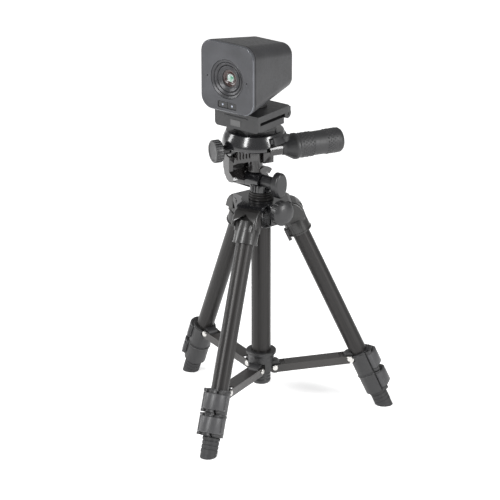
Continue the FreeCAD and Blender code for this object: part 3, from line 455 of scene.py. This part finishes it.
knob_black = plastic("knob_black", (0.016, 0.016, 0.017), 0.36, 0.00005, 1200.0)
arm_black = plastic("arm_black", (0.010, 0.009, 0.009), 0.24, 0.00003, 400.0, 0.4)
grip_rubber = plastic("grip_rubber", (0.018, 0.018, 0.019), 0.50, 0.00006, 1500.0)
rod_steel = plastic("rod_steel", (0.55, 0.55, 0.55), 0.25, 0.0, metallic=1.0, uneven=0.05)
rod_black = plastic("rod_black", (0.018, 0.018, 0.019), 0.30, 0.00002, 1800.0)
for node in ("column_knob", "tilt_knob", "flip_knob", "release_lever"):
    softened(node, knob_black, 0.0004)
softened("tilt_arm", arm_black, 0.0009, 3)
softened("handle_grip", grip_rubber, 0.0004)
softened("handle_rod", rod_black, 0.0003)

head_turn, head_x, head_y, handle_height = -27.5, -0.0028, -0.0054, 0.255
head_frame = column_frame @ Matrix.Translation((head_x, head_y, 0)) @ about_z(head_turn)
fin_frame = head_frame @ Matrix.Translation((0.0072, -0.0205, 0.2563))
for number in range(5):
    repeated("arm_fin_%d" % number, block_units, arm_black, body_of("tilt_arm"), slot_of("tilt_arm"),
             fin_frame @ Matrix.Translation((-0.001, 0.0031 * number, 0)), Count=1, Radius=0.001,
             Size=(0.0030, 0.0011, 0.0080))
handle_frame = (head_frame @ Matrix.Translation((0, 0, handle_height))
                @ Matrix.Rotation(math.radians(-90), 4, "X"))
for name, first_row in (("near", 0.0450), ("far", 0.0700)):
    repeated("grip_studs_" + name, round_units, grip_rubber, body_of("handle_grip"), slot_of("handle_grip"),
             handle_frame @ Matrix.Translation((0, 0, first_row)), Count=22, Rows=6, Radius=0.01105, Pitch=0.0021,
             Stagger=math.pi / 22, Size=(0.0007, 0.0010, 0.0008))

# ---------------------------------------------------------------- quick plate and clip
# A plastic quick plate carries the camera screw. The clip's two jaws are satin black plastic round a steel pin.

clip_black = plastic("clip_black", (0.019, 0.019, 0.020), 0.40, 0.00004, 1300.0)
softened("quick_plate", collar_black, 0.0004)
softened("quick_plate_screw", rod_steel, 0.0003)
softened("clip_arm", clip_black, 0.0006)
softened("clip_bracket", clip_black, 0.0006)
softened("clip_hinge_pin", rod_black, 0.0002)
softened("clip_pads", foot_rubber, 0.0002)
brass = plastic("brass", (0.62, 0.44, 0.18), 0.3, 0.0, metallic=1.0, uneven=0.06)
softened("thread_insert", brass, 0.0002)
softened("swivel_neck", clip_black, 0.0004)

# ---------------------------------------------------------------- webcam
# A two-part housing: a bead-blasted grey shell, and a lighter satin front plate whose cut edge carries a painted
# highlight, a brighter metallic colour. A stepped black funnel leads to the coated lens, and two keys with plain light
# marks sit under it.

shell_grey = plastic("shell_grey", (0.028, 0.028, 0.030), 0.42, 0.00004, 1800.0, metallic=0.2)
front_grey = plastic("front_grey", (0.050, 0.051, 0.056), 0.40, 0.00002, 2200.0, metallic=0.3)
# Painted highlight: a lighter metallic colour for the front plate's cut edge, standing in for light glinting on the
# chamfer.
painted_edge_highlight = plastic("painted_edge_highlight", (0.15, 0.155, 0.17), 0.22, 0.0, metallic=0.8, uneven=0.05)
barrel_black = plastic("barrel_black", (0.032, 0.032, 0.035), 0.36, 0.00001, 1500.0, metallic=0.3)
softened("webcam_shell", shell_grey, 0.0005)
front_plate = softened("webcam_front_plate", front_grey, 0.0001, 1)
front_plate.data.materials.append(painted_edge_highlight)
plate_low, plate_high = (Vector(corner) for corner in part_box("webcam_front_plate"))
edge_depth = 0.0008
# The slanted chamfer faces along the plate's front edge take the painted edge highlight material.
for polygon in front_plate.data.polygons:
    slanted = 0.3 < -polygon.normal.y < 0.95
    if slanted and polygon.center.y < plate_low.y + edge_depth:
        polygon.material_index = 1
softened("key_left", knob_black, 0.0002)
softened("key_right", knob_black, 0.0002)
softened("usb_socket", rod_steel, 0.0001)
board_green = plastic("board_green", (0.02, 0.12, 0.05), 0.35)
softened("circuit_boards", board_green, 0.0001)

lens_x, lens_z, glass_radius, well_radius = (plate_low.x + plate_high.x) / 2, 0.3336, 0.0038, 0.0078
lens_frame = Matrix.Translation((lens_x, plate_low.y, lens_z)) @ Matrix.Rotation(math.radians(90), 4, "X")
funnel_steps = ((0.01815, 0.0004), (0.01530, 0.0014), (0.01210, 0.0025))
funnel = []
for radius, depth in funnel_steps:
    funnel += [(radius, -depth - 0.0008), (radius - 0.0001, -depth), (radius - 0.0005, -depth + 0.0003),
               (radius - 0.0010, -depth), (radius - 0.0022, -depth - 0.0005), (radius - 0.0027, -depth - 0.0010)]
funnel += [(well_radius + 0.0008, -0.0037), (well_radius + 0.0003, -0.0035), (well_radius, -0.0039),
           (well_radius, -0.0100), (0.0180, -0.0100)]
lens_funnel = turned_piece("lens_funnel", funnel, barrel_black, body_of("lens_barrel"),
                           lens_frame, 128)
well_red = plastic("well_red", (0.022, 0.006, 0.005), 0.25, 0.00003, 1500.0, 0.4)
lens_well = turned_piece("lens_well", [(glass_radius - 0.0002, -0.0054), (0.0046, -0.0049), (0.0056, -0.0052),
                                       (0.0062, -0.0047), (0.0072, -0.0045), (0.0079, -0.0045), (0.0079, -0.0062),
                                       (glass_radius - 0.0002, -0.0062)], well_red,
                         body_of("lens_barrel"), lens_frame)
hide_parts("lens_barrel")
coated, coated_nodes, coated_links, coated_shader, coated_place = new_material("coated_glass")
bands = noise(coated_nodes, coated_links, coated_place, 420.0, 1.0)
coated_links.new(tint(coated_nodes, coated_links, spread(coated_nodes, coated_links, bands, 0, 1),
                      (0.03, 0.20, 0.11), (0.42, 0.44, 0.45)), coated_shader.inputs["Base Color"])
coated_shader.inputs["Roughness"].default_value = 0.08
coated_shader.inputs["Coat Weight"].default_value = 1.0
dome = [(glass_radius * math.sin(a), -0.0056 + 0.0013 * math.cos(a)) for a in
        (math.pi / 2 * k / 8 for k in range(9))]
dome[0] = (0.00002, dome[0][1])
front_glass = turned_piece("front_glass", dome + [(glass_radius, -0.0066), (0.00002, -0.0066)], coated,
                           body_of("lens_glass"), lens_frame, 48)
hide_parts("lens_glass")


def flat_mark(name, corners, depth, body, slot):
    """A small printed mark, raised a hair above a key's face; corners are (x, z) about the mark's middle."""
    printed = bmesh.new()
    front_ring = [printed.verts.new((x, -depth, z)) for x, z in corners]
    back_ring = [printed.verts.new((x, 0, z)) for x, z in corners]
    printed.faces.new(front_ring)
    for k in range(len(corners)):
        m = (k + 1) % len(corners)
        printed.faces.new((front_ring[k], back_ring[k], back_ring[m], front_ring[m]))
    bmesh.ops.recalc_face_normals(printed, faces=printed.faces)
    mesh = bpy.data.meshes.new(name)
    printed.to_mesh(mesh)
    printed.free()
    mesh.materials.append(mark_white)
    return mesh


mark_white = plastic("mark_white", (0.34, 0.37, 0.44), 0.45, 0.0, uneven=0.06)
key_height, key_face = 0.3094, plate_low.y + 0.0005
star = [(r * math.cos(a), r * math.sin(a)) for r, a in
        ((0.0011 if n % 2 else 0.0007, math.pi * n / 8) for n in range(16))]
drop = [(0.0, -0.0012), (0.0007, -0.0003), (0.0011, 0.0004), (0.0007, 0.0009), (0.0, 0.0006), (-0.0007, 0.0009),
        (-0.0011, 0.0004), (-0.0007, -0.0003)]
for node, offset, corners in (("key_left", -0.0052, star), ("key_right", 0.0052, drop)):
    mesh = flat_mark("mark_" + node, corners, 0.00006, body_of(node), slot_of(node))
    mesh.transform(Matrix.Translation((lens_x + offset, key_face, key_height)))
    mark = bpy.data.objects.new("mark_" + node, mesh)
    scene.collection.objects.link(mark)
    owned(mark, body_of(node))


def pad_piece(name, width, height, thickness, corner, material, place, body):
    """A flat pad with rounded corners and softened edges on a face that looks towards -Y."""
    outline = []
    for sx, sz, start in ((1, 1, 0), (-1, 1, 90), (-1, -1, 180), (1, -1, 270)):
        for k in range(7):
            a = math.radians(start + 15 * k)
            outline.append((sx * (width / 2 - corner) + corner * math.cos(a),
                            sz * (height / 2 - corner) + corner * math.sin(a)))
    pad = bmesh.new()
    rings = []
    for inset, y in ((0.0, 0.0), (0.0, -thickness * 0.6), (thickness * 0.4, -thickness)):
        rings.append([pad.verts.new((x * (1 - 2 * inset / width), y, z * (1 - 2 * inset / height))) for x, z in outline])
    for low, high in zip(rings, rings[1:]):
        for k in range(len(outline)):
            m = (k + 1) % len(outline)
            pad.faces.new((low[k], high[k], high[m], low[m]))
    pad.faces.new(rings[-1])
    bmesh.ops.recalc_face_normals(pad, faces=pad.faces)
    mesh = bpy.data.meshes.new(name)
    pad.to_mesh(mesh)
    pad.free()
    mesh.transform(Matrix.Translation(place))
    mesh.materials.append(material)
    piece = bpy.data.objects.new(name, mesh)
    scene.collection.objects.link(piece)
    return owned(piece, body)


# The clip's lip carries a raised bar near its top and a small plain grey plate under it.
badge_grey = plastic("badge_grey", (0.075, 0.075, 0.075), 0.42, 0.00002, 2500.0)
lip_low, lip_high = (Vector(corner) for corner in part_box("clip_bracket"))
lip_middle = (lip_low.x + lip_high.x) / 2
pad_piece("lip_bar", 0.0270, 0.0012, 0.0006, 0.0005, clip_black, (lip_middle - 0.001, lip_low.y, 0.2950),
          body_of("clip_bracket"))
pad_piece("lip_plate", 0.0112, 0.0058, 0.0004, 0.0005, badge_grey, (lip_middle - 0.001, lip_low.y, 0.2892),
          body_of("clip_bracket"))
